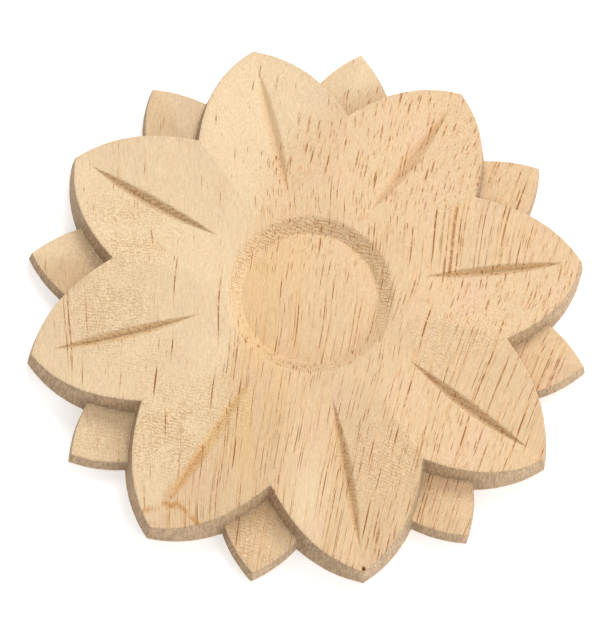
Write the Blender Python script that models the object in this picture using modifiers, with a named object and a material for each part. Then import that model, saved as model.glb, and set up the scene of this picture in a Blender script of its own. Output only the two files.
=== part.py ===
"""Carved wooden rosette: a flower of eight petals over a second row of eight, cut from one thick board.

The rosette lies on its flat back in the plane z = 0, with the carved face up and the Z axis through its middle.
A front petal points along +X and the others follow every 45 degrees. A back petal stands in each gap between them.
The face is a level ring about the middle. From its edge each front petal falls evenly to its tip as a shallow
trough of two facets, which meet the next petal's in a ridge. A V groove along the trough marks the petal's vein,
and a round dish with sloping sides and a low domed floor is sunk in the middle.
Lengths are in metres and angles in radians.
"""

import math

import bmesh
import bpy
import numpy as np

PETALS = 8
PETAL_PITCH = 2 * math.pi / PETALS

# Outline of the front petals, seen from above
FRONT_TIP_RADIUS = 0.0400
FRONT_NOTCH_RADIUS = 0.0285
FRONT_SIDE_BOW = 0.00195
FRONT_BOW_LEAN = 0.15

# Outline of the back petals, seen from above
BACK_TIP_RADIUS = 0.0401
BACK_ROOT_ALONG = 0.0270
BACK_ROOT_HALF_WIDTH = 0.0079
BACK_SIDE_BOW = 0.00135
BACK_BOW_LEAN = 0.145

# Heights over the flat back
FACE_TOP = 0.00925
FRONT_TIP_HEIGHT = 0.00375
TROUGH_START = 0.0135
FRONT_FACET_SLOPE = 0.105
BACK_RIDGE_ROOT = 0.00375
BACK_RIDGE_TIP = 0.00275
BACK_FACET_SLOPE = 0.075
WALL_DRAFT = 0.13

# Dish in the middle
DISH_RIM_RADIUS = 0.0118
DISH_CREASE_RADIUS = 0.00955
DISH_CREASE_HEIGHT = 0.0074
DISC_RISE = 0.0009
DISC_POWER = 3.0

# Vein grooves: the floor is an arc below the trough's bottom line, and the flanks rise at 45 degrees
VEIN_START = 0.0155
VEIN_END = 0.0376
VEIN_DEPTH = 0.0010
VEIN_OVERRUN = 0.0012
VEIN_CUTTER_HEIGHT = 0.0030

# How finely the curved surfaces are divided
SIDE_STEPS = 8
FACE_RINGS = 4
VEIN_STEPS = 14
HUB_RADIUS = 0.0100
BACK_HUB_RADIUS = 0.0200
DISH_STEPS = 96
DISC_RINGS = 5
CUTTER_TOP = 0.0120
MIDDLE_DIGITS = 9
SMOOTH_ANGLE = math.radians(28)

WOOD_COLOUR = (0.791, 0.565, 0.337, 1.0)
WOOD_ROUGHNESS = 0.62


def clear_scene():
    """Removes every object, so that the script gives the same model each time it is run."""
    for old in list(bpy.data.objects):
        bpy.data.objects.remove(old, do_unlink=True)


def new_collection(name):
    group = bpy.data.collections.new(name)
    bpy.context.scene.collection.children.link(group)
    return group


def wood_material(name):
    material = bpy.data.materials.new(name)
    material.use_nodes = True
    shader = material.node_tree.nodes["Principled BSDF"]
    shader.inputs["Base Color"].default_value = WOOD_COLOUR
    shader.inputs["Roughness"].default_value = WOOD_ROUGHNESS
    shader.inputs["Metallic"].default_value = 0.0
    return material


def new_object(name, shape, collection, material=None):
    """Puts a finished bmesh into a named object of the collection."""
    mesh = bpy.data.meshes.new(name)
    shape.to_mesh(mesh)
    shape.free()
    if material:
        mesh.materials.append(material)
    thing = bpy.data.objects.new(name, mesh)
    collection.objects.link(thing)
    return thing


def mark_as_cutter(thing):
    thing.hide_render = True
    thing.display_type = "WIRE"


def bowed_side(root, tip, bow, lean):
    """One side of a petal from its root to its tip: a straight line bowed outwards, more so towards the tip."""
    u = np.linspace(0, 1, SIDE_STEPS + 1)
    chord = np.subtract(tip, root)
    outward = np.array([-chord[1], chord[0]]) / np.linalg.norm(chord)
    bulge = 4 * bow * u * (1 - u) * (1 + lean * (2 * u - 1))
    return np.asarray(root) + u[:, None] * chord + bulge[:, None] * outward


def flower_outline(side, first_angle, keep_root):
    """The closed outline of a row of petals, anticlockwise, from one petal's side given about the X axis."""
    below = side * (1, -1)
    above = side[-2::-1] if keep_root else side[-2:0:-1]
    petal = np.concatenate([below, above])
    turned = []
    for number in range(PETALS):
        angle = first_angle + number * PETAL_PITCH
        turn = np.array([[math.cos(angle), math.sin(angle)], [-math.sin(angle), math.cos(angle)]])
        turned.append(petal @ turn)
    return np.concatenate(turned)


def front_outline():
    half_pitch = PETAL_PITCH / 2
    notch = (FRONT_NOTCH_RADIUS * math.cos(half_pitch), -FRONT_NOTCH_RADIUS * math.sin(half_pitch))
    side = bowed_side(notch, (FRONT_TIP_RADIUS, 0), -FRONT_SIDE_BOW, FRONT_BOW_LEAN)
    return flower_outline(side * (1, -1), 0.0, keep_root=False)


def back_outline():
    root = (BACK_ROOT_ALONG, -BACK_ROOT_HALF_WIDTH)
    side = bowed_side(root, (BACK_TIP_RADIUS, 0), -BACK_SIDE_BOW, BACK_BOW_LEAN)
    return flower_outline(side * (1, -1), PETAL_PITCH / 2, keep_root=True)


def angle_off_petal(points, first_angle):
    """The angle between each point and the nearest petal axis, never more than half a pitch."""
    angle = np.arctan2(points[:, 1], points[:, 0]) - first_angle
    return np.abs((angle + PETAL_PITCH / 2) % PETAL_PITCH - PETAL_PITCH / 2)


def trough_fall():
    """How far a trough's bottom line falls for each unit along the petal."""
    return (FACE_TOP - FRONT_TIP_HEIGHT) / (FRONT_TIP_RADIUS - TROUGH_START)


def face_height(points):
    """The front face: the level ring, or the petal's facet where that is lower."""
    radius = np.hypot(points[:, 0], points[:, 1])
    angle = angle_off_petal(points, 0.0)
    along, across = radius * np.cos(angle), radius * np.sin(angle)
    facet = FACE_TOP - trough_fall() * (along - TROUGH_START) + FRONT_FACET_SLOPE * across
    return np.minimum(facet, FACE_TOP)


def ring_edge(outline):
    """Where the level ring ends and the facets begin, on the ray through each point of the outline."""
    angle = angle_off_petal(outline, 0.0)
    radius = trough_fall() * TROUGH_START / (trough_fall() * np.cos(angle) - FRONT_FACET_SLOPE * np.sin(angle))
    return outline * (radius / np.linalg.norm(outline, axis=1))[:, None]


def back_height(points):
    """The back petals: a straight ridge along each axis that falls to the tip, with a flat facet on each side."""
    radius = np.hypot(points[:, 0], points[:, 1])
    angle = angle_off_petal(points, PETAL_PITCH / 2)
    along = (radius * np.cos(angle) - FRONT_NOTCH_RADIUS) / (BACK_TIP_RADIUS - FRONT_NOTCH_RADIUS)
    across = radius * np.sin(angle)
    return BACK_RIDGE_ROOT + (BACK_RIDGE_TIP - BACK_RIDGE_ROOT) * along - BACK_FACET_SLOPE * across


def pushed_out(outline, distance):
    """The outline moved outwards by a distance for each point, with its corners kept as corners."""
    ahead = np.roll(outline, -1, axis=0) - outline
    ahead /= np.linalg.norm(ahead, axis=1)[:, None]
    normal_ahead = np.stack([ahead[:, 1], -ahead[:, 0]], axis=1)
    normal_behind = np.roll(normal_ahead, 1, axis=0)
    normal = normal_ahead + normal_behind
    normal /= np.linalg.norm(normal, axis=1)[:, None]
    stretch = 1 / np.sum(normal * normal_ahead, axis=1)
    return outline + normal * (distance * stretch)[:, None]


def with_height(points, height):
    return np.column_stack([points, np.broadcast_to(height, len(points))])


def circle_inside(outline, radius):
    """A circle about the middle, with one point on the ray through each point of the outline."""
    return outline * (radius / np.linalg.norm(outline, axis=1))[:, None]


def add_loft(shape, sections):
    """Adds a closed body through sections of equal point count, closed with a fan at each end.

    Seen from the last section, every section runs anticlockwise. The fans' middles are rounded, so that the fans
    of two bodies about the same middle share it exactly.
    """
    rings = [[shape.verts.new(point) for point in section] for section in sections]
    for lower, upper in zip(rings[:-1], rings[1:]):
        for here, after in zip(range(len(lower)), [*range(1, len(lower)), 0]):
            shape.faces.new((lower[here], lower[after], upper[after], upper[here]))
    for section, ring, order in ((sections[0], rings[0], -1), (sections[-1], rings[-1], 1)):
        middle = shape.verts.new(np.round(np.mean(section, axis=0), MIDDLE_DIGITS))
        for here, after in zip(ring, ring[1:] + ring[:1]):
            shape.faces.new((here, after, middle)[::order])


def front_petals(collection, material):
    """The front row: drafted sides up to the petal edges, then the facets and the level ring in to the middle."""
    edge = front_outline()
    edge_height = face_height(edge)
    ring = ring_edge(edge)
    hub = circle_inside(edge, HUB_RADIUS)
    sections = [with_height(pushed_out(edge, WALL_DRAFT * edge_height), 0.0)]
    for share in np.linspace(0, 1, FACE_RINGS + 1):
        points = edge + share * (ring - edge)
        sections.append(with_height(points, face_height(points)))
    sections.append(with_height(hub, FACE_TOP))
    shape = bmesh.new()
    add_loft(shape, sections)
    return new_object("carved_rosette", shape, collection, material)


def back_petals(collection):
    """The back row: drafted sides, a roof-shaped top, and a core that ends inside the front row."""
    edge = back_outline()
    edge_height = back_height(edge)
    inner = circle_inside(edge, BACK_HUB_RADIUS)
    sections = [
        with_height(pushed_out(edge, WALL_DRAFT * edge_height), 0.0),
        with_height(edge, edge_height),
        with_height(inner, back_height(inner)),
    ]
    shape = bmesh.new()
    add_loft(shape, sections)
    row = new_object("back_petals", shape, collection)
    mark_as_cutter(row)
    return row


def dish_cutter(collection):
    """The round dish as a turned shape: its sloping side, its crease and the hollow that leaves a domed disc."""
    side_slope = (FACE_TOP - DISH_CREASE_HEIGHT) / (DISH_RIM_RADIUS - DISH_CREASE_RADIUS)
    top_radius = DISH_CREASE_RADIUS + (CUTTER_TOP - DISH_CREASE_HEIGHT) / side_slope
    profile = [(0.0, CUTTER_TOP), (top_radius, CUTTER_TOP)]
    for ring in range(DISC_RINGS, -1, -1):
        share = ring / DISC_RINGS
        profile.append((share * DISH_CREASE_RADIUS, DISH_CREASE_HEIGHT + DISC_RISE * (1 - share ** DISC_POWER)))
    shape = bmesh.new()
    points = [shape.verts.new((radius, 0.0, height)) for radius, height in profile]
    for start, end in zip(points[:-1], points[1:]):
        shape.edges.new((start, end))
    cutter = new_object("dish_cutter", shape, collection)
    turn = cutter.modifiers.new("turned", "SCREW")
    turn.steps = DISH_STEPS
    turn.render_steps = DISH_STEPS
    turn.use_merge_vertices = True
    turn.merge_threshold = 0.00001
    mark_as_cutter(cutter)
    return cutter


def vein_cutters(collection):
    """One bent bar of triangular section for each front petal, on its edge along the vein's floor."""
    along = np.linspace(VEIN_START - VEIN_OVERRUN, VEIN_END + VEIN_OVERRUN, VEIN_STEPS + 1)
    share = (along - VEIN_START) / (VEIN_END - VEIN_START)
    floor = FACE_TOP - trough_fall() * (along - TROUGH_START) - VEIN_DEPTH * 4 * share * (1 - share)
    top = floor + VEIN_CUTTER_HEIGHT
    shape = bmesh.new()
    for number in range(PETALS):
        angle = number * PETAL_PITCH
        outward = np.array([math.cos(angle), math.sin(angle), 0.0])
        sideways = np.array([-math.sin(angle), math.cos(angle), 0.0]) * VEIN_CUTTER_HEIGHT
        sections = []
        for reach, low, high in zip(along, floor, top):
            point = outward * reach
            sections.append([point + (0, 0, low), point + sideways + (0, 0, high), point - sideways + (0, 0, high)])
        add_loft(shape, sections)
    cutter = new_object("vein_cutters", shape, collection)
    mark_as_cutter(cutter)
    return cutter


def combine(body, other, operation):
    step = body.modifiers.new(other.name, "BOOLEAN")
    step.operation = operation
    step.solver = "EXACT"
    step.object = other


def main():
    clear_scene()
    parts = new_collection("carved_wooden_rosette")
    cutters = new_collection("cutters")
    rosette = front_petals(parts, wood_material("pale_carved_wood"))
    combine(rosette, dish_cutter(cutters), "DIFFERENCE")
    combine(rosette, back_petals(cutters), "UNION")
    combine(rosette, vein_cutters(cutters), "DIFFERENCE")
    rosette.data.shade_smooth()
    rosette.data.set_sharp_from_angle(angle=SMOOTH_ANGLE)


main()
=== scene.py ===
"""Carved wooden flower rosette: its carved surface, its bare pale wood and a plain studio around it.

The carving is one closed surface worked out on a grid. Its rows run from the middle of the domed disc
out over the dish and the front petals, down their sides, out over the back petals, down to the back and in
again to the middle of the flat back. Its columns run round the flower and lean with the vein grooves.
"""

import math
from collections import namedtuple

import bpy
import numpy as np
from bpy.props import FloatProperty, FloatVectorProperty, IntProperty, PointerProperty
from bpy.types import Operator, Panel, PropertyGroup
from mathutils import Matrix, Vector


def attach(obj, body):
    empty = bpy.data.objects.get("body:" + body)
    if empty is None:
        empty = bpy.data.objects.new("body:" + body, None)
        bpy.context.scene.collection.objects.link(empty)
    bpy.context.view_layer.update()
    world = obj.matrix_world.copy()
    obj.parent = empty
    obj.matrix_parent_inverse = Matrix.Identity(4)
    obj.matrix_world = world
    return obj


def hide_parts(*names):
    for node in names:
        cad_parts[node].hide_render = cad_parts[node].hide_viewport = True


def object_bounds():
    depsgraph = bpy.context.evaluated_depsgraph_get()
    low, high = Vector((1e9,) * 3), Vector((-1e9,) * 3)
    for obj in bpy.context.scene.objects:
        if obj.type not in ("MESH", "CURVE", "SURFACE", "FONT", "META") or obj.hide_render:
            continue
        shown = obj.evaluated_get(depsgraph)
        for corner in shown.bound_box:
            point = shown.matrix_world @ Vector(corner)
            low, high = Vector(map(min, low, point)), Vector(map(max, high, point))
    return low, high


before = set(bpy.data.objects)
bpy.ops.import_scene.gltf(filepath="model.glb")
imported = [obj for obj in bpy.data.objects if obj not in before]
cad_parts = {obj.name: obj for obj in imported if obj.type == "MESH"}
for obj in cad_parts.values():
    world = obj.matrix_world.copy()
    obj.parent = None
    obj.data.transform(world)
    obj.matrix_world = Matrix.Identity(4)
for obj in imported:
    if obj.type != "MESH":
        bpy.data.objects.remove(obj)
CAD_LOW, CAD_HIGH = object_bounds()

bl_info = {
    "name": "Carved Wooden Rosette",
    "version": (1, 0, 0),
    "blender": (4, 5, 0),
    "location": "3D View > Sidebar > Rosette",
    "description": "Carves a sixteen-pointed flower rosette in pale wood and sets it under soft light",
    "category": "Object",
}

NODE = "carved_rosette"
BODY = "root"

MM = 0.001
PETALS = 8     # in each of the two rows
PITCH = 2 * math.pi / PETALS
HALF_PITCH = PITCH / 2

# One vein groove as the carver cut it, in millimetres: how far its two edges and its floor lie from the
# petal's axis, counted anticlockwise, and the radii between which it runs. torn and gold are the shares of
# torn brown fibres and of golden fuzz in it. The first petal lies along the X axis, the others follow
# anticlockwise.
VeinCut = namedtuple("VeinCut", "left_edge right_edge floor start end torn gold")
VEIN_CUTS = (
    VeinCut(0.65, -1.00, 0.05, 16.6, 37.6, 0.65, 0.35),
    VeinCut(0.95, -1.20, -0.15, 15.5, 36.7, 0.30, 0.12),
    VeinCut(1.45, -0.90, -0.05, 15.5, 37.0, 0.06, 0.00),
    VeinCut(1.30, -0.55, 0.25, 15.9, 37.4, 1.00, 0.00),
    VeinCut(1.25, -0.50, 0.05, 16.2, 37.0, 0.60, 0.35),
    VeinCut(1.10, -0.80, 0.10, 14.9, 36.4, 0.05, 1.00),
    VeinCut(1.00, -1.00, 0.14, 15.5, 37.0, 0.60, 0.05),
    VeinCut(0.50, -1.30, -0.30, 17.0, 37.4, 1.00, 0.00),
)

# A stain in the wood, in millimetres: its two ends on the face, its half width, and how strong it is.
# Over a strength of 1 it turns dark.
Stain = namedtuple("Stain", "start end half_width strength")
STAINS = (
    Stain((-28.9, -25.9), (-27.9, -25.6), 0.24, 0.9),
    Stain((-27.9, -25.6), (-26.7, -25.9), 0.20, 0.7),
    Stain((-25.7, -25.3), (-24.9, -25.9), 0.28, 1.0),
    Stain((-24.9, -25.9), (-24.0, -25.8), 0.33, 1.0),
    Stain((-24.0, -25.8), (-22.9, -27.2), 0.25, 0.85),
    Stain((-22.9, -27.2), (-22.4, -28.2), 0.16, 0.5),
    Stain((-22.4, -28.2), (-21.6, -29.3), 0.26, 0.9),
    Stain((-19.6, -19.8), (-25.0, -24.4), 0.75, 0.35),
    Stain((-15.5, 32.0), (-15.2, 36.0), 2.2, 0.22),
    Stain((-32.5, 11.0), (-35.5, 11.2), 2.6, 0.26),
    Stain((27.0, 11.7), (27.2, 11.9), 0.30, 1.0),
    Stain((26.8, -11.4), (27.0, -11.6), 0.25, 1.0),
    Stain((0.0, -39.5), (0.0, -39.6), 0.23, 2.4),
)
STAIN_REACH = 1.5           # how far out a stain has faded, over its half width

# A patch where the knife ran against the grain and tore the fibres, in millimetres: its middle on the face,
# how far it reaches, and how strong it is.
Patch = namedtuple("Patch", "middle reach strength")
PATCHES = (
    Patch((-23.5, 14.0), 9.0, 0.9),
    Patch((-28.0, 3.0), 8.5, 0.9),
    Patch((-25.0, -5.0), 6.0, 0.5),
    Patch((-24.0, -15.5), 9.0, 1.0),
    Patch((-16.5, -13.5), 6.5, 0.6),
    Patch((5.5, -26.0), 7.5, 0.7),
    Patch((17.0, -10.0), 6.5, 0.5),
    Patch((23.0, -9.0), 6.0, 0.5),
    Patch((27.5, 22.0), 6.0, 0.4),
    Patch((14.5, -30.0), 6.0, 0.5),
    Patch((-14.5, -32.0), 6.0, 0.8),
    Patch((-34.0, -14.0), 6.0, 0.7),
)
PATCH_FULLNESS = 1.6        # strength in a patch's middle, before it is cut off at 1
PATCH_INNER = 12.0          # the patches lie outside this radius, in millimetres
DISH_TEAR_START = -40.0     # direction, in degrees, from which the dish's side is torn
DISH_TEAR_TURN = 232.0      # and how far round from there
DISH_TEAR_FADE = 25.0       # over how many degrees that fades at both ends
DISH_TEAR_RADIUS = 10.75    # the middle of the torn ring, and how far from it the ring ends, in millimetres
DISH_TEAR_WIDTH = 1.5

# A single dark streak, in millimetres in the board: its place across the grain, and where along it it runs.
Streak = namedtuple("Streak", "across start end half_width")
STREAKS = (
    Streak(-8.6, -26.5, -22.0, 0.10),
    Streak(-21.5, -17.0, -12.5, 0.12),
)


def length(name, description, default):
    """A size, in metres."""
    return FloatProperty(name=name, description=description, default=default, unit="LENGTH")


def angle(name, description, degrees):
    """An angle, given here in degrees."""
    return FloatProperty(name=name, description=description, default=math.radians(degrees), unit="ROTATION")


def number(name, description, default):
    """A number without a unit."""
    return FloatProperty(name=name, description=description, default=default)


def paint(name, description, default):
    """A colour."""
    return FloatVectorProperty(name=name, description=description, default=default, subtype="COLOR", size=3)


class RosetteCarving(PropertyGroup):
    """Sizes of the carving."""

    front_tip: length("Front tip", "Radius of the front petals' tips at their upper edge", 0.0400)
    front_notch: length("Front notch", "Radius of the notches between the front petals", 0.0285)
    front_bow: length("Front bow", "How far a front petal's side bows out from a straight line", 0.00195)
    back_tip: length("Back tip", "Radius of the back petals' tips at their upper edge", 0.0401)
    back_bow: length("Back bow", "How far a back petal's side bows out from a straight line", 0.00135)
    face_top: length("Face height", "Height of the ring beside the dish, over the flat back", CAD_HIGH[2])
    tip_height: length("Tip height", "Height of the front petals' tips over the flat back", 0.00375)
    trough_start: length("Trough start", "Radius where a petal's bottom line leaves the level ring", 0.0135)
    facet_slope: number("Facet slope", "How far a petal's facets rise for each unit from its axis", 0.105)
    vein_depth: length("Vein depth", "Depth of the vein grooves half-way along", 0.0011)
    back_ridge_root: length("Back ridge root", "Height of the back ridges at the front notches", 0.00375)
    back_ridge_tip: length("Back ridge tip", "Height of the back petals' tips", 0.00275)
    wall_draft: number("Side spread", "How far the sides spread for each unit that they go down", 0.13)
    rim_radius: length("Dish rim", "Radius of the dish at the face", 0.0118)
    crease_radius: length("Disc edge", "Radius of the domed disc", 0.0097)
    crease_height: length("Disc edge height", "Height of the crease round the disc", 0.0076)
    disc_rise: length("Disc rise", "How far the disc's middle stands over its edge", 0.0009)
    edge_round: length("Edge rounding", "Radius of the worn upper edges of the petals", 0.00026)
    waviness: length("Waviness", "Height of the long, low waves that the gouge leaves on the face", 0.00006)
    ripple: length("Ripple", "Height of the small ripples on the face and in the sides", 0.000022)
    hand_seed: IntProperty(
        name="Hand variation", description="Seed of the unevenness left by the carver's hand", default=4)


class RosetteWood(PropertyGroup):
    """Colours and grain of the bare wood."""

    pale: paint("Pale wood", "The pale growth bands with few pores", (0.86, 0.650, 0.405))
    warm: paint("Warm wood", "The warmer growth band with many pores", (0.81, 0.575, 0.335))
    amber: paint("Amber wood", "The orange growth band", (0.85, 0.565, 0.285))
    rosy: paint("Rosy wood", "The faint rosy tint of some patches", (0.83, 0.555, 0.37))
    grey: paint("Grey wood", "The dull tone of fibres that were cut across", (0.72, 0.535, 0.345))
    streak: paint("Streak", "The tint around each open pore", (0.68, 0.35, 0.125))
    pore: paint("Pore", "The inside of the open pores", (0.36, 0.115, 0.030))
    # Partly the sawn wood's own darker tone and partly painted shade: the sides get a darker colour than
    # the face, standing in for the shade that falls on them.
    side: paint("Sawn side", "The sawn sides of the petals", (0.56, 0.395, 0.245))
    # Painted shade: the sides that face the direction below take this darker colour, standing in for the
    # shade on the sides turned away from the light.
    shaded_side: paint("Shaded side", "Painted shade on the sides turned away from the light", (0.345, 0.222, 0.125))
    shaded_turn: angle("Shaded direction", "Direction that the most shaded sides face", 150)
    gold: paint("Golden fuzz", "The bright fibres that stand in some vein grooves", (0.97, 0.75, 0.40))
    vein: paint("Torn fibres", "The brown of the torn fibres in the vein grooves", (0.54, 0.34, 0.155))
    stain: paint("Stain", "The orange-brown mineral stains", (0.60, 0.26, 0.065))
    grain_turn: angle("Grain direction", "Angle from the X axis to the grain in the board's middle", 70.5)
    grain_fan: number("Grain fan", "Millimetres to the point that the grain spreads from", 178.0)
    grain_dip: number("Grain dip", "How far the grain rises through the board for each unit", 0.075)
    pore_spacing: number("Pore spacing", "Distance between neighbouring pores, in millimetres", 0.56)
    pore_radius: number("Pore radius", "Radius of the pores, in millimetres", 0.075)


class RosetteStudio(PropertyGroup):
    """The camera, the light and the floor."""

    tilt: angle("Camera tilt", "Angle between the line of sight and the rosette's axis", 20.09)
    turn: angle("Camera turn", "Direction of the camera around the rosette's axis", -110.26)
    upright: angle("Picture upright", "Direction on the face that points up in the picture", 78.67)
    distance: length("Camera distance", "Distance of the camera from the rosette", 0.816)
    key_turn: angle("Key turn", "Direction that the key light comes from", 56.2)
    key_height: angle("Key height", "Height of the key light over the horizon", 45.4)
    key_strength: number("Key strength", "Strength of the key light", 1.20)
    front_turn: angle("Front turn", "Direction that the weaker front light comes from", -45)
    front_height: angle("Front height", "Height of the front light over the horizon", 30)
    front_strength: number("Front strength", "Strength of the front light", 0.60)
    fill_strength: number("Fill strength", "Strength of the even light from all round", 0.68)
    floor_colour: paint("Floor", "Colour of the floor", (0.97, 0.97, 0.97))
    floor_glow: number("Floor glow", "Light that comes up through the white table", 0.35)


PICTURE_SIZE = (593, 640)
PICTURE_CENTRE = (306.55, 316.2)   # pixel where the middle of the flat back lies
PICTURE_FOCAL = 5720.0             # focal length in pixels
SENSOR = 36.0                      # width of the camera's sensor in millimetres


NOISE_PERIOD = 32     # cubes after which the noise repeats


def lattice_noise(points, size, seed):
    """Smooth noise from -1 to 1: random values at the corners of cubes of one size, with a blend between.

    The blend weight along each edge is w = 3t^2 - 2t^3, with t the place between the two corners.
    """
    table = np.random.default_rng(seed).uniform(-1, 1, (NOISE_PERIOD, NOISE_PERIOD, NOISE_PERIOD))
    place = points / size
    corner = np.floor(place).astype(int)
    t = place - corner
    w = t * t * (3 - 2 * t)
    total = np.zeros(points.shape[:-1])
    for offset in np.ndindex(2, 2, 2):
        near = (corner + offset) % NOISE_PERIOD
        share = np.prod(np.abs(np.subtract(1, offset) - w), axis=-1)
        total += share * table[near[..., 0], near[..., 1], near[..., 2]]
    return total


def lower_of(a, b, blend):
    """The lower of two heights, with the corner between them rounded over the blend: a smooth minimum."""
    share = np.clip(0.5 + 0.5 * (b - a) / blend, 0, 1)
    return b + share * (a - b) - blend * share * (1 - share)


def higher_of(a, b, blend):
    """The higher of two heights, rounded the same way."""
    return -lower_of(-a, -b, blend)


class Outline:
    """A petal's outline as radius over angle: a straight side from root to tip, bowed outwards.

    The bow at share u of the side is 4 b u (1 - u) (1 + k (2u - 1)), at right angles to the side. slant is
    the cosine of the angle between the outline's own normal and the ray from the middle.
    """

    POINTS = 801

    def __init__(self, root, tip, bow, lean):
        u = np.linspace(0, 1, self.POINTS)
        chord = np.subtract(tip, root)
        outward = np.array([-chord[1], chord[0]]) / np.linalg.norm(chord)
        bulge = 4 * bow * u * (1 - u) * (1 + lean * (2 * u - 1))
        line = np.asarray(root) + u[:, None] * chord + bulge[:, None] * outward
        along = np.gradient(line, axis=0)
        radius = np.hypot(line[:, 0], line[:, 1])
        normal = np.stack([-along[:, 1], along[:, 0]], axis=1)
        normal /= np.linalg.norm(along, axis=1)[:, None]
        self.angles = np.arctan2(line[:, 1], line[:, 0])[::-1]
        self.radii = radius[::-1]
        self.slants = (np.sum(normal * line, axis=1) / radius)[::-1]

    def radius(self, angle):
        return np.interp(np.abs(angle), self.angles, self.radii)

    def slant(self, angle):
        return np.interp(np.abs(angle), self.angles, self.slants)

    def covers(self, angle):
        return np.abs(angle) <= self.angles[-1]


class Carving:
    """The rosette's heights and edges, as functions of radius r and angle a from a front petal's axis."""

    DISC_POWER = 3.0
    BACK_FACET_SLOPE = 0.105         # how far a back petal's facets fall for each unit from its ridge
    BACK_ROOT = (0.0270, 0.0079)     # start of a back petal's side, along its axis and across
    FRONT_BOW_LEAN = 0.15
    BACK_BOW_LEAN = 0.145
    TROUGH_ROUND = 0.6 * MM
    RING_ROUND = 0.6 * MM
    VEIN_ROUND = 0.07 * MM
    RIM_ROUND = 0.2 * MM
    CREASE_ROUND = 0.1 * MM
    LEAST_VEIN = math.radians(0.7)   # least angle between a groove's floor and its edges
    MEETING_TRIALS = 2000

    def __init__(self, sizes, petal):
        self.s = sizes
        notch = sizes.front_notch
        root = (notch * math.cos(HALF_PITCH), notch * math.sin(HALF_PITCH))
        self.front = Outline(root, (sizes.front_tip, 0.0), sizes.front_bow, self.FRONT_BOW_LEAN)
        self.back = Outline(self.BACK_ROOT, (sizes.back_tip, 0.0), sizes.back_bow, self.BACK_BOW_LEAN)
        cuts = np.array(VEIN_CUTS)[petal].T
        self.cut = VeinCut(*(cuts[:-2] * MM), *cuts[-2:])

    def axis_line(self, along):
        """Height of a petal's bottom line: it falls evenly from the ring's edge to the tip."""
        s = self.s
        run = s.front_tip - s.trough_start
        return s.face_top - (s.face_top - s.tip_height) * (along - s.trough_start) / run

    def trough(self, along, across):
        """A front petal's two facets: they rise evenly on both sides of its bottom line."""
        rounded = np.sqrt(across ** 2 + self.TROUGH_ROUND ** 2) - self.TROUGH_ROUND
        return self.axis_line(along) + self.s.facet_slope * rounded

    def face(self, r, a):
        """The face before dish and veins are cut: a level ring round the dish, and the petals' facets."""
        petal = self.trough(r * np.cos(a), r * np.sin(a))
        return lower_of(petal, np.full_like(petal, self.s.face_top), self.RING_ROUND)

    def vein_share(self, along):
        """A vein's depth and width as a share of the greatest: 4u (1 - u), at share u of its length."""
        u = (along - self.cut.start) / (self.cut.end - self.cut.start)
        return 4 * u * (1 - u)

    def vein(self, along, across):
        """A V groove whose floor follows its share of the depth under the petal's bottom line.

        The two flanks climb evenly from the floor to the facets, which they meet at the groove's edges. One
        is steeper than the other, as the knife was held.
        """
        cut, depth, rise = self.cut, self.s.vein_depth, self.s.facet_slope
        share = self.vein_share(along)
        left = (depth + rise * cut.left_edge) / (cut.left_edge - cut.floor)
        right = (depth - rise * cut.right_edge) / (cut.floor - cut.right_edge)
        aside = across - cut.floor * share
        return self.axis_line(along) - depth * share + np.where(aside > 0, left, right) * np.abs(aside)

    def vein_angles(self, radius):
        """Angles of the groove's floor and of its left and right edge at a radius."""
        share = np.clip(self.vein_share(radius), 0, None)
        floor = self.cut.floor * share / radius
        left = np.maximum(self.cut.left_edge * share / radius, floor + self.LEAST_VEIN)
        right = np.minimum(self.cut.right_edge * share / radius, floor - self.LEAST_VEIN)
        return floor, left, right

    def dish(self, r):
        """The disc's low dome h = rise (1 - (r/R)^3), and the straight side that climbs from its crease."""
        s = self.s
        dome = s.crease_height + s.disc_rise * (1 - (r / s.crease_radius) ** self.DISC_POWER)
        side = (s.face_top - s.crease_height) / (s.rim_radius - s.crease_radius)
        return higher_of(dome, s.crease_height + side * (r - s.crease_radius), self.CREASE_ROUND)

    def surface(self, r, a):
        """The carved face: the lowest of the face, the vein groove and the dish, with worn corners."""
        vein = self.vein(r * np.cos(a), r * np.sin(a))
        return lower_of(lower_of(self.face(r, a), vein, self.VEIN_ROUND), self.dish(r), self.RIM_ROUND)

    def back_top(self, r, a):
        """The back petals: a ridge that falls evenly to the tip, with a flat facet on each side."""
        s = self.s
        b = HALF_PITCH - np.abs(a)
        along = (r * np.cos(b) - s.front_notch) / (s.back_tip - s.front_notch)
        ridge = s.back_ridge_root + (s.back_ridge_tip - s.back_ridge_root) * along
        return ridge - self.BACK_FACET_SLOPE * r * np.abs(np.sin(b))

    def front_wall(self, a, z):
        """Radius of the front petals' side at height z: the edge, moved out by the draft, along the ray."""
        edge = self.front.radius(a)
        drop = self.face(edge, a) - z
        return edge + self.s.wall_draft * drop / self.front.slant(a)

    def back_wall(self, a, z):
        """Radius of the back petals' side at height z, and nothing where no back petal is."""
        b = HALF_PITCH - np.abs(a)
        edge = self.back.radius(b)
        drop = self.back_top(edge, a) - z
        reach = edge + self.s.wall_draft * drop / self.back.slant(b)
        return np.where(self.back.covers(b), reach, 0.0)

    def meeting_angle(self):
        """Angle from a front petal's axis where a back petal's side comes out of the front petal's side."""
        a = np.linspace(HALF_PITCH, HALF_PITCH - self.back.angles[-1], self.MEETING_TRIALS)
        b = HALF_PITCH - a
        edge = self.back.radius(b)
        gap = edge - self.front_wall(a, self.back_top(edge, a))
        return float(a[np.argmax(gap < 0)])


def steps(start, end, count, skip_first=True):
    """Evenly spaced values from start to end, without the first one unless it is asked for."""
    row = np.linspace(start, end, count + 1)
    return row[1:] if skip_first else row


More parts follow.
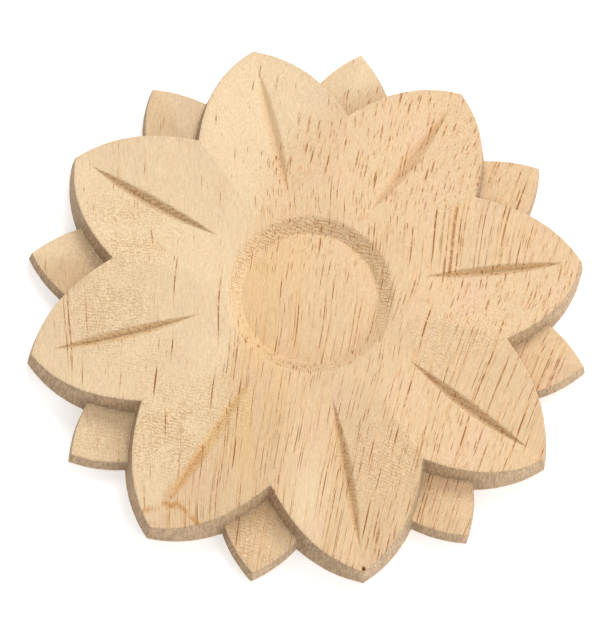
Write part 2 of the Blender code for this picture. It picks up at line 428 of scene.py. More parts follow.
class SurfaceGrid:
    """Rows and columns of the carved surface. Every array has one entry for each column."""

    VEIN_COLUMNS = 5
    FRONT_COLUMNS = 22
    BACK_COLUMNS = 21
    # The third mark is where painted shade lies in the crevices.
    MARKS = ("side", "rim", "crevice", "under", "vein", "gold")

    def __init__(self, sizes):
        half = np.concatenate([
            steps(0, 1, self.VEIN_COLUMNS, False),
            1 + steps(0, 1, self.FRONT_COLUMNS),
            2 + steps(0, 1, self.BACK_COLUMNS),
        ])
        place = np.concatenate([-half[::-1], half[1:-1]])
        self.place = np.tile(place, PETALS)
        self.petal = np.repeat(np.arange(PETALS), len(place))
        self.carving = Carving(sizes, self.petal)
        self.meeting = self.carving.meeting_angle()
        self.points = []
        self.marks = []

    def column_angles(self, floor, left, right):
        """Angle of each column from its petal's axis.

        Columns are held on the vein's floor and edges, where a back petal's side comes out, and in the
        notch, and are spread evenly between.
        """
        side = np.where(self.place < 0, -1.0, 1.0)
        edge = np.where(self.place < 0, -right, left)
        start = floor * side
        u = np.abs(self.place)
        inner = start + np.clip(u, 0, 1) * (edge - start)
        middle = np.clip(u - 1, 0, 1) * (self.meeting - edge)
        outer = np.clip(u - 2, 0, 1) * (HALF_PITCH - self.meeting)
        return side * (inner + middle + outer)

    def add(self, radius, angle, height, **marks):
        """Adds a row of points, with the share that each mark has there."""
        turned = angle + self.petal * PITCH
        x, y = radius * np.cos(turned), radius * np.sin(turned)
        self.points.append(np.stack([x, y, height], axis=-1))
        self.marks.append([marks.get(name, 0.0) + 0 * radius for name in self.MARKS])


# Radii of the rows over the disc and over the dish's side and rim, in millimetres.
DISC_ROWS = (0.0, 1.2, 2.6, 4.0, 5.2, 6.3, 7.2, 8.0, 8.6, 9.1, 9.45, 9.62)
DISH_ROWS = (9.70, 9.78, 9.92, 10.2, 10.5, 10.8, 11.1, 11.35, 11.55, 11.7, 11.82, 11.98, 12.3)
FACE_ROWS = 56
EDGE_INSETS = (0.85, 0.62, 0.45, 0.34)      # rows just inside the petals' edges, in millimetres from them
EDGE_TURNS = (0, 18, 36, 54, 72, 90)        # rows round the worn edges and the fillets, in degrees
FOOT_TURNS = (30, 60, 90)
BACK_EDGE_TURNS = (22, 45, 67, 90)
WALL_ROWS = 8
BACK_ROWS = 14
LOW_WALL_ROWS = 6
UNDER_ROWS = (1.0, 0.93, 0.75, 0.5, 0.25, 0.0)    # rows over the flat back, as shares of its radius
EDGE_APRON = 1.1 * MM           # width of the strip inside the edges whose rows run along them
FOOT_ROUND = 0.35 * MM          # greatest fillet at the foot of the front petals' side
BASE_ROUND = 0.12 * MM          # bevel round the flat back
VEIN_MARK_DEPTH = 0.25 * MM     # depth under the facets at which a vein groove is fully marked
CREVICE_SHADE_REACH = 0.35 * MM       # how far the painted shade in the crevices reaches out of them
ROUNDING = 1e-9                 # slack for comparing two angles that should be equal


def add_face_rows(grid, plain):
    """Rows from the disc's middle to just inside the petals' edges. The outer ones bend with the edges."""
    carving = grid.carving
    ones = np.ones_like(plain)
    for radius in MM * np.array(DISC_ROWS + DISH_ROWS):
        grid.add(radius * ones, plain, carving.surface(radius * ones, plain))
    first = MM * DISH_ROWS[-1]
    for t in steps(0, 1, FACE_ROWS):
        on_axis = first + t * (carving.s.front_tip - EDGE_APRON - first)
        a = grid.column_angles(*carving.vein_angles(on_axis * ones))
        end = carving.front.radius(a) - EDGE_APRON / carving.front.slant(a)
        r = first + t * (end - first)
        sunk = carving.face(r, a) - carving.vein(r * np.cos(a), r * np.sin(a))
        vein = np.clip(sunk / VEIN_MARK_DEPTH, 0, 1)
        grid.add(r, a, carving.surface(r, a), vein=carving.cut.torn * vein, gold=carving.cut.gold * vein)


def add_front_edge(grid, plain):
    """Rows over the front petals' worn upper edge: a quarter circle from the face to the side."""
    carving = grid.carving
    edge, slant = carving.front.radius(plain), carving.front.slant(plain)
    for inset in EDGE_INSETS:
        r = edge - inset * MM / slant
        grid.add(r, plain, carving.surface(r, plain), rim=EDGE_APRON / MM - inset)
    for turn in np.radians(EDGE_TURNS):
        r = edge - carving.s.edge_round * (1 - math.sin(turn)) / slant
        drop = carving.s.edge_round * (1 - math.cos(turn))
        grid.add(r, plain, carving.surface(r, plain) - drop, rim=1.0, side=1 - math.cos(turn))


def add_wall_and_back_petals(grid, plain):
    """Rows down the front petals' side and out over the back petals.

    Where no back petal is, the rows of the back petals all lie on the side's foot, and are drawn together
    later.
    """
    carving, s = grid.carving, grid.carving.s
    edge = carving.front.radius(plain)
    foot = carving.back_top(edge, plain)
    for _ in range(3):      # its height and its radius hang on one another, and three rounds settle them
        foot = carving.back_top(carving.front_wall(plain, foot), plain)
    wall_foot = carving.front_wall(plain, foot)
    outside = np.abs(plain) >= grid.meeting - ROUNDING
    tip_side = np.maximum(carving.back.radius(HALF_PITCH - np.abs(plain)), wall_foot)
    back_edge = np.where(outside, tip_side, wall_foot)
    width = back_edge - wall_foot
    fillet = np.minimum(FOOT_ROUND, width / 4)
    worn = np.minimum(s.edge_round, width / 4)
    top = carving.face(edge, plain) - s.edge_round
    # Share of painted shade near the corner where a back petal's side comes out of the front petal's side.
    corner = np.exp(-np.abs(np.abs(plain) - grid.meeting) * edge / MM)
    for t in steps(0, 1, WALL_ROWS):
        z = top + t * (foot + fillet - top)
        # Painted shade: darker further down the side, and near that corner.
        side_shade = np.maximum(corner * t, outside * t ** 3)
        grid.add(carving.front_wall(plain, z), plain, z, side=1.0, crevice=side_shade)
    grid.collapse_from = len(grid.points) - 1
    for turn in np.radians(FOOT_TURNS):
        r = wall_foot + fillet * (1 - math.cos(turn))
        z = carving.back_top(r, plain) + fillet * (1 - math.sin(turn))
        # Painted shade fills the fillet at the side's foot.
        grid.add(r, plain, z, side=1 - math.sin(turn), crevice=1.0)
    for t in steps(0, 1, BACK_ROWS):
        r = wall_foot + fillet + t * (width - fillet - worn)
        # Painted shade on the back petals, fading out from the foot of the front petals' side.
        near = np.exp(-(r - wall_foot) / CREVICE_SHADE_REACH)
        grid.add(r, plain, carving.back_top(r, plain), crevice=near, rim=t ** 8)
    for turn in np.radians(BACK_EDGE_TURNS):
        r = back_edge - worn * (1 - math.sin(turn))
        z = carving.back_top(r, plain) - worn * (1 - math.cos(turn))
        grid.add(r, plain, z, side=1 - math.cos(turn), rim=1.0)
    grid.collapse_to = len(grid.points) - 1
    return np.where(width > 0, carving.back_top(back_edge, plain) - worn, foot), corner


def add_base_rows(grid, plain, top, corner):
    """Rows from the lower side's top to the flat back, and in over the back to its middle."""
    carving = grid.carving
    ones = np.ones_like(plain)

    def side(z):
        return np.maximum(carving.front_wall(plain, z), carving.back_wall(plain, z))

    for t in steps(0, 1, LOW_WALL_ROWS):
        z = top + t * (BASE_ROUND - top)
        # Painted shade on the lower side near the corner where a back petal comes out.
        grid.add(side(z), plain, z, side=1.0, crevice=corner)
    base = side(0 * ones)
    worn = 0.3 * BASE_ROUND
    grid.add(base - worn, plain, worn * ones, side=1.0)
    grid.first_under = len(grid.points)
    for share in UNDER_ROWS:
        grid.add((base - BASE_ROUND) * share, plain, 0 * ones, side=1.0, under=1.0)


def build_grid(sizes):
    """All rows of the surface, from the disc's middle to the middle of the back."""
    grid = SurfaceGrid(sizes)
    least = np.full_like(grid.place, Carving.LEAST_VEIN)
    plain = grid.column_angles(0 * least, least, -least)
    add_face_rows(grid, plain)
    add_front_edge(grid, plain)
    top, corner = add_wall_and_back_petals(grid, plain)
    add_base_rows(grid, plain, top, corner)
    return grid


WAVE_SIZE = 6.5 * MM
RIPPLE_SIZE = 1.6 * MM
ROUGH_SIZE = 0.9 * MM
ROUGH_STRETCH = (1, 1, 0.3)     # the sides' roughness runs up and down
SIDE_PRESS = 2.4                # depth of the sides' roughness over that of the face's ripples


def weathered(points, side, under, sizes):
    """The points with the hand's unevenness, which grows nowhere past the true form.

    Long low waves and small ripples are cut into the face, and roughness is pressed into the sides.
    """
    wave = 0.5 + 0.5 * lattice_noise(points, WAVE_SIZE, sizes.hand_seed)
    ripple = lattice_noise(points, RIPPLE_SIZE, sizes.hand_seed + 1)
    rough = 0.5 + 0.5 * lattice_noise(points * ROUGH_STRETCH, ROUGH_SIZE, sizes.hand_seed + 2)
    points = points.copy()
    points[..., 2] -= (1 - side) * (sizes.waviness * wave + sizes.ripple * (1 + ripple))
    press = SIDE_PRESS * sizes.ripple * side * (1 - under) * rough
    radius = np.maximum(np.hypot(points[..., 0], points[..., 1]), MM)
    points[..., :2] *= (1 - press / radius)[..., None]
    return points


def stain_share(points):
    """How stained each point is: each stain fades out from its line, by 1 - (distance / reach)^2."""
    share = np.zeros(points.shape[:-1])
    for stain in STAINS:
        start, end = MM * np.array(stain.start), MM * np.array(stain.end)
        run = end - start
        t = np.clip(((points[..., :2] - start) @ run) / (run @ run), 0, 1)
        distance = np.linalg.norm(points[..., :2] - start - t[..., None] * run, axis=-1)
        fade = np.clip(1 - (distance / (STAIN_REACH * stain.half_width * MM)) ** 2, 0, 1)
        share = np.maximum(share, stain.strength * fade)
    return share


def torn_share(points):
    """How torn each point is: the patches fade out evenly, and the dish's side is torn on its far side."""
    radius = np.hypot(points[..., 0], points[..., 1]) / MM
    turn = (np.degrees(np.arctan2(points[..., 1], points[..., 0])) - DISH_TEAR_START) % 360
    around = np.clip(np.minimum(turn, DISH_TEAR_TURN - turn) / DISH_TEAR_FADE, 0, 1)
    share = around * np.clip(DISH_TEAR_WIDTH - np.abs(radius - DISH_TEAR_RADIUS), 0, 1)
    for patch in PATCHES:
        distance = np.linalg.norm(points[..., :2] / MM - patch.middle, axis=-1)
        fade = np.clip(PATCH_FULLNESS * (1 - distance / patch.reach), 0, 1) * (radius > PATCH_INNER)
        share = np.maximum(share, patch.strength * fade)
    return share


def faces_of(grid):
    """Quads between rows and columns, with the row of each.

    Rows that lie on one another, and the two middles, are drawn together first.
    """
    rows, columns = len(grid.points), len(grid.place)
    index = np.arange(rows * columns).reshape(rows, columns)
    hidden = np.abs(grid.place) <= 2      # columns where no back petal comes out
    index[grid.collapse_from:grid.collapse_to + 1, hidden] = index[grid.collapse_from, hidden]
    index[0] = index[0, 0]
    index[-1] = index[-1, 0]
    after = np.roll(index, -1, axis=1)
    quads = np.stack([index[:-1], index[1:], after[1:], after[:-1]], axis=-1).reshape(-1, 4)
    return quads, np.repeat(np.arange(rows - 1), columns)


def mesh_from_grid(name, grid, sizes):
    """The closed mesh, its marks as attributes, and the flat back's faces in the second material."""
    quads, row = faces_of(grid)
    kept, inverse = np.unique(quads, return_inverse=True)
    quads = inverse.reshape(quads.shape)
    same = quads == np.roll(quads, -1, axis=1)
    whole = ~same.any(axis=1)
    partial = same.sum(axis=1) == 1
    triangles = quads[partial][~same[partial]].reshape(-1, 3)
    marks = np.array(grid.marks).transpose(1, 0, 2).reshape(len(grid.MARKS), -1)
    marks = dict(zip(grid.MARKS, marks))
    points = weathered(np.array(grid.points).reshape(-1, 3), marks["side"], marks["under"], sizes)[kept]
    marks = {label: values[kept] for label, values in marks.items()}
    marks["stain"] = stain_share(points) * (1 - marks["side"])
    marks["torn"] = torn_share(points) * (1 - marks["side"])

    mesh = bpy.data.meshes.new(name)
    mesh.vertices.add(len(points))
    mesh.vertices.foreach_set("co", points.ravel())
    corners = np.repeat([4, 3], [whole.sum(), len(triangles)])
    mesh.loops.add(int(corners.sum()))
    mesh.loops.foreach_set("vertex_index", np.concatenate([quads[whole].ravel(), triangles.ravel()]))
    mesh.polygons.add(len(corners))
    mesh.polygons.foreach_set("loop_start", np.cumsum(corners) - corners)
    under = np.concatenate([row[whole], row[partial]]) >= grid.first_under
    mesh.polygons.foreach_set("material_index", under.astype(int))
    for label, values in marks.items():
        mesh.attributes.new(label, "FLOAT", "POINT").data.foreach_set("value", values)
    mesh.update(calc_edges=True)
    mesh.validate()
    mesh.shade_smooth()
    return mesh


def solid(colour):
    """A colour as a node takes it, with a fourth value. A socket stays as it is."""
    return colour if isinstance(colour, bpy.types.NodeSocket) else (*colour, 1.0)


class Wiring:
    """Puts nodes into a tree. Each call fills the node's inputs and gives back one of its outputs."""

    def __init__(self, tree):
        self.tree = tree

    def fill(self, node, inputs):
        """Links or sets the inputs of a node."""
        for socket, value in inputs.items():
            if isinstance(value, bpy.types.NodeSocket):
                self.tree.links.new(value, node.inputs[socket])
            else:
                node.inputs[socket].default_value = value

    def node(self, kind, inputs=None, output=0, **options):
        node = self.tree.nodes.new(kind)
        for name, value in options.items():
            setattr(node, name, value)
        self.fill(node, inputs or {})
        return node.outputs[output]

    def maths(self, operation, *values):
        return self.node("ShaderNodeMath", dict(enumerate(values)), operation=operation)

    def times(self, product, *factors):
        for factor in factors:
            product = self.maths("MULTIPLY", product, factor)
        return product

    def times_plus(self, value, factor, offset):
        return self.maths("MULTIPLY_ADD", value, factor, offset)

    def higher(self, a, b):
        return self.maths("MAXIMUM", a, b)

    def away(self, value, middle):
        """How far a value lies from a middle one."""
        return self.maths("ABSOLUTE", self.maths("SUBTRACT", value, middle))

    def vector(self, x, y, z):
        return self.node("ShaderNodeCombineXYZ", {0: x, 1: y, 2: z})

    def parts(self, vector):
        return self.node("ShaderNodeSeparateXYZ", {0: vector}).node.outputs

    def vectors(self, operation, *values, output=0):
        return self.node("ShaderNodeVectorMath", dict(enumerate(values)), output, operation=operation)

    def scaled(self, vector, factor):
        """A vector or a colour times a number."""
        return self.node("ShaderNodeVectorMath", {0: vector, "Scale": factor}, operation="SCALE")

    def ramp(self, value, low, high, start=0.0, end=1.0):
        """A smooth step: start below low, end above high."""
        inputs = {"Value": value, "From Min": low, "From Max": high, "To Min": start, "To Max": end}
        return self.node("ShaderNodeMapRange", inputs, interpolation_type="SMOOTHSTEP")

    def noise(self, place, stretch, detail=2.0, rough=0.5, output=0):
        place = self.vectors("MULTIPLY", place, stretch)
        inputs = {"Vector": place, "Scale": 1.0, "Detail": detail, "Roughness": rough}
        return self.node("ShaderNodeTexNoise", inputs, output)

    def cover(self, colour, *layers):
        """The colour with layers over it: each is a colour and the shares that it is laid on with."""
        for over, *shares in layers:
            inputs = {0: self.times(*shares), 6: solid(colour), 7: solid(over)}
            colour = self.node("ShaderNodeMix", inputs, 2, data_type="RGBA")
        return colour

    def mark(self, name):
        return self.node("ShaderNodeAttribute", output="Fac", attribute_name=name)

    def group(self, tree, inputs):
        """Places a node group and gives back all of its outputs."""
        made = self.tree.nodes.new("ShaderNodeGroup")
        made.node_tree = tree
        self.fill(made, inputs)
        return made.outputs


def new_group(name, inputs, outputs):
    """An empty node group with named sockets, each given as its name and kind."""
    tree = bpy.data.node_groups.new(name, "ShaderNodeTree")
    for way, sockets in (("INPUT", inputs), ("OUTPUT", outputs)):
        for label, kind in sockets.items():
            tree.interface.new_socket(label, in_out=way, socket_type="NodeSocket" + kind)
    return Wiring(tree), tree.nodes.new("NodeGroupInput").outputs, tree.nodes.new("NodeGroupOutput")


# How far the grain wanders, in millimetres across it, along it and in depth.
GRAIN_WANDER = (3.4, 0.0, 1.6)
HATCH_TURNS = 14.5     # angle for each millimetre along the grain, in the fine hatch of torn fibres
HATCH_WARP = 12.0      # and how far noise shifts it
TUBE_FLATNESS = 0.30   # width of the tubes over their depth, which makes a shallow cut show a long streak
FINE_RISE = 0.12       # how far the finer tubes rise against the others for each unit along the grain
FINE_SPACING = 0.7     # spacing and radius of the finer tubes over those of the others
FINE_RADIUS = 0.6
FIBRE_OUTPUTS = ("Fibre", "Line", "Fuzz", "Speck", "Hatch")


def grain_place_group():
    """Place in the board, in millimetres: across the grain, along it, and depth across the fibres.

    The grain spreads like a fan from a far point, rises a little through the board, and wanders gently.
    """
    wires, given, made = new_group(
        "grain_place", {"Place": "Vector", "Turn": "Float", "Fan": "Float", "Rise": "Float"},
        {"Grain": "Vector"})
    size = wires.vectors("MULTIPLY", given["Place"], (1 / MM, 1 / MM, 1 / MM))
    turn = wires.maths("SUBTRACT", math.pi / 2, given["Turn"])
    turned = wires.node("ShaderNodeVectorRotate", {"Vector": size, "Angle": turn}, rotation_type="Z_AXIS")
    x, y, z = wires.parts(turned)
    far = wires.maths("ADD", y, given["Fan"])
    across = wires.times(wires.maths("ARCTAN2", x, far), given["Fan"])
    reach = wires.vectors("LENGTH", wires.vector(x, far, 0.0), output="Value")
    along = wires.maths("SUBTRACT", reach, given["Fan"])
    depth = wires.maths("SUBTRACT", z, wires.times(along, given["Rise"]))
    straight = wires.vector(across, along, depth)
    drift = wires.noise(straight, (0.03, 0.045, 0.06), detail=1.0, output="Color")
    wander = wires.vectors("MULTIPLY", wires.vectors("SUBTRACT", drift, (0.5, 0.5, 0.5)), GRAIN_WANDER)
    wires.fill(made, {"Grain": wires.vectors("ADD", straight, wander)})
    return wires.tree


def open_pores_group():
    """Long tubes that run along the grain, cut open by the surface: a dark core and a tinted halo.

    A tube stands in a share of the cells of a scatter across the grain. Each has its own width, and its
    darkness comes and goes along its length.
    """
    wires, given, made = new_group(
        "open_pores", {"Grain": "Vector", "Spacing": "Float", "Radius": "Float", "Share": "Float"},
        {"Pore": "Float", "Halo": "Float"})
    across, _, depth = wires.parts(given["Grain"])
    flat = wires.vector(across, wires.times(depth, TUBE_FLATNESS), 0.0)
    cells = wires.scaled(flat, wires.maths("DIVIDE", 1.0, given["Spacing"]))
    scatter = wires.node(
        "ShaderNodeTexVoronoi", {"Vector": cells, "Scale": 1.0}, voronoi_dimensions="2D").node
    distance = wires.times(scatter.outputs["Distance"], given["Spacing"])
    chance, width, _ = wires.parts(scatter.outputs["Color"])
    there = wires.maths("LESS_THAN", chance, given["Share"])
    radius = wires.times(given["Radius"], wires.times_plus(width, 0.9, 0.55))
    near = wires.maths("DIVIDE", distance, radius)
    beat = wires.ramp(wires.noise(given["Grain"], (1.0, 0.8, 1.0), detail=3.0), 0.41, 0.52, 0.1, 1.0)
    darkness = wires.times_plus(wires.maths("FRACT", wires.times(chance, 37.0)), 0.55, 0.45)
    strength = wires.times(there, darkness)
    core = wires.times(wires.ramp(near, 0.7, 1.15, 1.0, 0.0), strength)
    halo = wires.times(wires.ramp(near, 0.7, 2.3, 1.0, 0.0), strength)
    wires.fill(made, {"Pore": wires.times(core, beat), "Halo": halo})
    return wires.tree


def fibres_group():
    """Fine fibres and faint coloured lines along the grain, and the fuzz of fibres cut across."""
    wires, given, made = new_group("fibres", {"Grain": "Vector"}, dict.fromkeys(FIBRE_OUTPUTS, "Float"))
    grain = given["Grain"]
    across, along, _ = wires.parts(grain)
    warp = wires.times_plus(across, 2.0, wires.times(wires.noise(grain, (0.9, 0.9, 0.9)), HATCH_WARP))
    phase = wires.maths("ADD", wires.times(along, HATCH_TURNS), warp)
    broken = wires.ramp(wires.noise(grain, (2.4, 2.4, 2.4)), 0.35, 0.6)
    wires.fill(made, {
        "Fibre": wires.noise(grain, (6.0, 0.6, 6.0), rough=0.6),
        "Line": wires.ramp(wires.noise(grain, (2.3, 0.035, 2.3), rough=0.6), 0.56, 0.70),
        "Fuzz": wires.noise(grain, (3.6, 2.2, 3.6), rough=0.65),
        "Speck": wires.noise(grain, (5.6, 4.4, 5.6), detail=1.0),
        "Hatch": wires.times(wires.ramp(wires.maths("SINE", phase), -0.8, 0.9), broken),
    })
    return wires.tree


def wood_groups():
    """The node groups that both wood materials use."""
    return {"grain": grain_place_group(), "pores": open_pores_group(), "fibres": fibres_group()}


def start_wood(name, groups, wood):
    """A new material with the board's grain laid out in it, its wiring, its shader, and the grain."""
    material = bpy.data.materials.new(name)
    material.use_nodes = True
    wires = Wiring(material.node_tree)
    place = wires.node("ShaderNodeTexCoord", output="Object")
    sockets = {"Place": place, "Turn": wood.grain_turn, "Fan": wood.grain_fan, "Rise": wood.grain_dip}
    grain = wires.group(groups["grain"], sockets)["Grain"]
    return material, wires, material.node_tree.nodes["Principled BSDF"], grain


def facing(wires, turn):
    """How far the surface faces a level direction: the cosine of the angle between them."""
    normal = wires.node("ShaderNodeNewGeometry", output="Normal")
    return wires.vectors("DOT_PRODUCT", normal, (math.cos(turn), math.sin(turn), 0.0), output="Value")


def streak_share(wires, across, along):
    """The few single dark streaks: thin lines along the grain that taper towards both ends."""
    total = 0.0
    for streak in STREAKS:
        middle, half = (streak.start + streak.end) / 2, (streak.end - streak.start) / 2
        aside = wires.maths("DIVIDE", wires.away(across, streak.across), streak.half_width)
        ahead = wires.maths("DIVIDE", wires.away(along, middle), half)
        reach = wires.maths("ADD", aside, wires.maths("POWER", ahead, 3.0))
        total = wires.higher(wires.ramp(reach, 0.6, 1.5, 1.0, 0.0), total)
    return total


# Growth bands, in millimetres in the board: places across the grain, and how the first pale band's edge
# bends over with the cube of the place along the grain.
PALE_EDGE = -9.5
PALE_EDGE_BEND = 0.00033
AMBER_MIDDLE = -5.5
SECOND_PALE_MIDDLE = 5.0


def growth_colour(wires, grain, wood):
    """The board's colour and its share of warm wood.

    A pale band with few pores lies on one side and a warm one on the other, with amber between. A second
    pale band lies in the warm one.
    """
    across, along, _ = wires.parts(grain)
    cube = wires.maths("POWER", wires.maths("ABSOLUTE", along), 3.0)
    bend = wires.times(cube, PALE_EDGE_BEND, wires.maths("SIGN", along))
    edge = wires.maths("SUBTRACT", wires.maths("SUBTRACT", across, PALE_EDGE), bend)
    band = wires.ramp(edge, -3.0, 3.0)
    amber = wires.ramp(wires.away(across, AMBER_MIDDLE), 2.0, 6.5, 1.0, 0.0)
    amber_top = wires.ramp(along, 3.0, 12.0, 1.0, 0.0)
    amber_foot = wires.ramp(along, -33.0, -22.0, 0.0, 0.75)
    second = wires.ramp(wires.away(across, SECOND_PALE_MIDDLE), 1.5, 4.5, 0.9, 0.0)
    second_top = wires.ramp(along, -28.0, -20.0, 1.0, 0.0)
    greyed = wires.ramp(wires.noise(grain, (0.16, 0.05, 0.2)), 0.45, 0.75, 0.0, 0.3)
    rosy = wires.ramp(wires.noise(grain, (0.23, 0.12, 0.21)), 0.50, 0.66)
    colour = wires.cover(
        wood.pale,
        (wood.warm, band),
        (wood.amber, amber, amber_top, amber_foot),
        (wood.grey, greyed),
        (wood.pale, second, second_top),
        (wood.rosy, rosy, wires.times_plus(band, 0.4, 0.08)))
    return colour, band


def place_pores(wires, groups, grain, wood, share, spacing=1.0, radius=1.0):
    """Open pores in a share of the cells. Spacing and radius are given over the wood's own."""
    return wires.group(groups["pores"], {
        "Grain": grain, "Spacing": spacing * wood.pore_spacing, "Radius": radius * wood.pore_radius,
        "Share": share})


def pore_shares(wires, groups, grain, band, wood):
    """The open pores and their halos: coarse tubes, finer ones that rise against them, and dark streaks."""
    across, along, depth = wires.parts(grain)
    coarse = place_pores(wires, groups, grain, wood, wires.times_plus(band, 0.74, 0.10))
    tilted = wires.vector(across, along, wires.times_plus(along, -FINE_RISE, depth))
    share = wires.times_plus(band, 0.5, 0.12)
    fine = place_pores(wires, groups, tilted, wood, share, FINE_SPACING, FINE_RADIUS)
    pore = wires.higher(coarse["Pore"], wires.times(fine["Pore"], 0.8))
    pore = wires.higher(pore, streak_share(wires, across, along))
    return pore, wires.higher(coarse["Halo"], wires.times(fine["Halo"], 0.7))


def darker(colour, share):
    """A colour with only a share of its light."""
    return tuple(share * part for part in colour)


def sawn_side_colour(wires, wood, sawing, across_cut):
    """The sawn sides: painted shade on one side, in upright stripes, and paler where fibres were cut
    across.
    """
    # Painted shade: the sides that face that direction are laid over with the darker colour.
    tone = wires.cover(wood.side, (wood.shaded_side, wires.ramp(facing(wires, wood.shaded_turn), -0.9, 0.8)))
    tone = wires.scaled(tone, wires.ramp(sawing, 0.35, 0.65, 0.80, 1.18))
    return wires.cover(tone, (wood.grey, across_cut, wires.ramp(sawing, 0.45, 0.7, 0.0, 0.35)))


def dress(wires, shader, colour, height, strength, roughness):
    """Gives the shader its colour, its relief, in millimetres, and its roughness."""
    bump = wires.node("ShaderNodeBump", {"Strength": strength, "Distance": MM, "Height": height})
    wires.fill(shader, {"Base Color": colour, "Normal": bump, "Roughness": roughness})


def carved_wood(groups, wood):
    """The carved face and the sawn sides: growth bands, pores, fibres, fuzz, worn edges and stains."""
    material, wires, shader, grain = start_wood("carved_pale_wood", groups, wood)
    side, rim, crevice, stain, torn_patch, vein, gold = (
        wires.mark(name) for name in ("side", "rim", "crevice", "stain", "torn", "vein", "gold"))
    fibres = wires.group(groups["fibres"], {"Grain": grain})
    fibre, line, fuzz, speck, hatch = (fibres[name] for name in FIBRE_OUTPUTS)
    colour, band = growth_colour(wires, grain, wood)
    pore, halo = pore_shares(wires, groups, grain, band, wood)

    across_cut = wires.ramp(wires.maths("ABSOLUTE", facing(wires, wood.grain_turn)), 0.15, 0.75)
    cut_or_vein = wires.higher(across_cut, wires.times(vein, 0.8))
    torn = wires.times(cut_or_vein, wires.ramp(fuzz, 0.38, 0.62))
    fuzzy = wires.times(torn_patch, wires.ramp(wires.noise(grain, (0.35, 0.3, 0.35)), 0.35, 0.5))
    sand = wires.times_plus(torn_patch, 0.75, 0.35)
    place = wires.node("ShaderNodeTexCoord", output="Object")
    sawing = wires.noise(place, (3000, 3000, 500), detail=3.0, rough=0.6)
    ragged = wires.maths("ADD", side, wires.times_plus(fuzz, 0.9, -0.45))
    sawn = wires.ramp(ragged, 0.45, 0.75)
    colour = wires.cover(
        colour,
        (wood.grey, torn, across_cut, 0.45),
        (wood.vein, across_cut, wires.ramp(hatch, 0.2, 0.8, 0.0, 0.5)),
        (wood.vein, vein, wires.ramp(hatch, 0.15, 0.7, 0.22, 0.75)),
        (wood.gold, gold, 0.75),
        (wood.streak, gold, wires.ramp(hatch, 0.3, 0.8, 0.0, 0.5)),
        (wood.streak, fuzzy, wires.ramp(hatch, 0.2, 0.7, 0.0, 0.5)),
        (wood.pale, fuzzy, wires.ramp(hatch, 0.0, 0.25, 0.75, 0.0)),
        (wood.streak, line, wires.times_plus(band, 0.30, 0.10)),
        (wood.streak, halo, 0.6),
        (wood.pore, pore, 0.95),
        (sawn_side_colour(wires, wood, sawing, across_cut), sawn, 0.9),
        (wood.side, rim, wires.ramp(fuzz, 0.42, 0.66), 0.3),
        # Painted shade in the crevices: a dark side colour, broken up by the fuzz.
        (darker(wood.side, 0.45), crevice, wires.ramp(fuzz, 0.25, 0.6, 0.08, 0.38)),
        (wood.stain, stain, wires.ramp(fuzz, 0.35, 0.6, 0.75, 1.0)),
        (darker(wood.side, 0.12), wires.ramp(stain, 1.0, 1.6)),
        (wood.streak, wires.ramp(speck, 0.28, 0.5, 0.3, 0.0), sand))
    glint = wires.times(wires.ramp(speck, 0.35, 0.7, -0.06, 0.14), sand)
    shade = wires.maths("ADD", wires.ramp(fibre, 0.3, 0.7, -0.09, 0.075), glint)
    colour = wires.scaled(colour, wires.maths("ADD", shade, 1.0))

    height = wires.times(pore, -0.07)
    for relief, depth in ((fibre, 0.03), (wires.times(speck, sand), 0.09), (torn, 0.06),
                          (wires.times(sawn, sawing), 0.22), (wires.times(fuzzy, hatch), 0.075)):
        height = wires.times_plus(relief, depth, height)
    dress(wires, shader, colour, height, 0.8, wires.ramp(fibre, 0.2, 0.8, 0.58, 0.72))
    shader.inputs["Specular IOR Level"].default_value = 0.3
    return material


SAW_BOW = 0.004        # how far the saw's marks on the back bow, for each square millimetre across
SAW_TURNS = 4.2        # angle for each millimetre along the grain between the saw's marks


def sawn_back(groups, wood):
    """The flat back: the same board, sawn across its grain and a little duller."""
    material, wires, shader, grain = start_wood("sawn_flat_back", groups, wood)
    across, along, _ = wires.parts(grain)
    fibres = wires.group(groups["fibres"], {"Grain": grain})
    fuzz = fibres["Fuzz"]
    pores = place_pores(wires, groups, grain, wood, 0.45)
    bow = wires.times_plus(wires.times(across, across), SAW_BOW, along)
    saw = wires.maths("SINE", wires.times_plus(fuzz, 1.5, wires.times(bow, SAW_TURNS)))
    colour = wires.cover(
        wood.pale,
        (wood.warm, wires.ramp(across, -9.0, 2.0)),
        (wood.grey, wires.ramp(saw, -1.0, 1.0, 0.15, 0.5)),
        (wood.streak, fibres["Line"], 0.2),
        (wood.streak, pores["Halo"], 0.35),
        (wood.pore, pores["Pore"], 0.6))
    height = wires.times_plus(fibres["Fibre"], 0.03, wires.times(saw, 0.02))
    dress(wires, shader, colour, height, 0.7, wires.ramp(fuzz, 0.2, 0.8, 0.62, 0.78))
    return material


class ROSETTE_OT_carve(Operator):
    """Carves the rosette as one closed surface and gives it its wood"""

    bl_idname = "rosette.carve"
    bl_label = "Carve Rosette"

    def execute(self, context):
        sizes, wood = context.scene.rosette_carving, context.scene.rosette_wood
        mesh = mesh_from_grid("rosette_carving", build_grid(sizes), sizes)
        groups = wood_groups()
        mesh.materials.append(carved_wood(groups, wood))
        mesh.materials.append(sawn_back(groups, wood))
        piece = bpy.data.objects.new("rosette_carving", mesh)
        context.scene.collection.objects.link(piece)
        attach(piece, BODY)
        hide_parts(NODE)
        return {"FINISHED"}


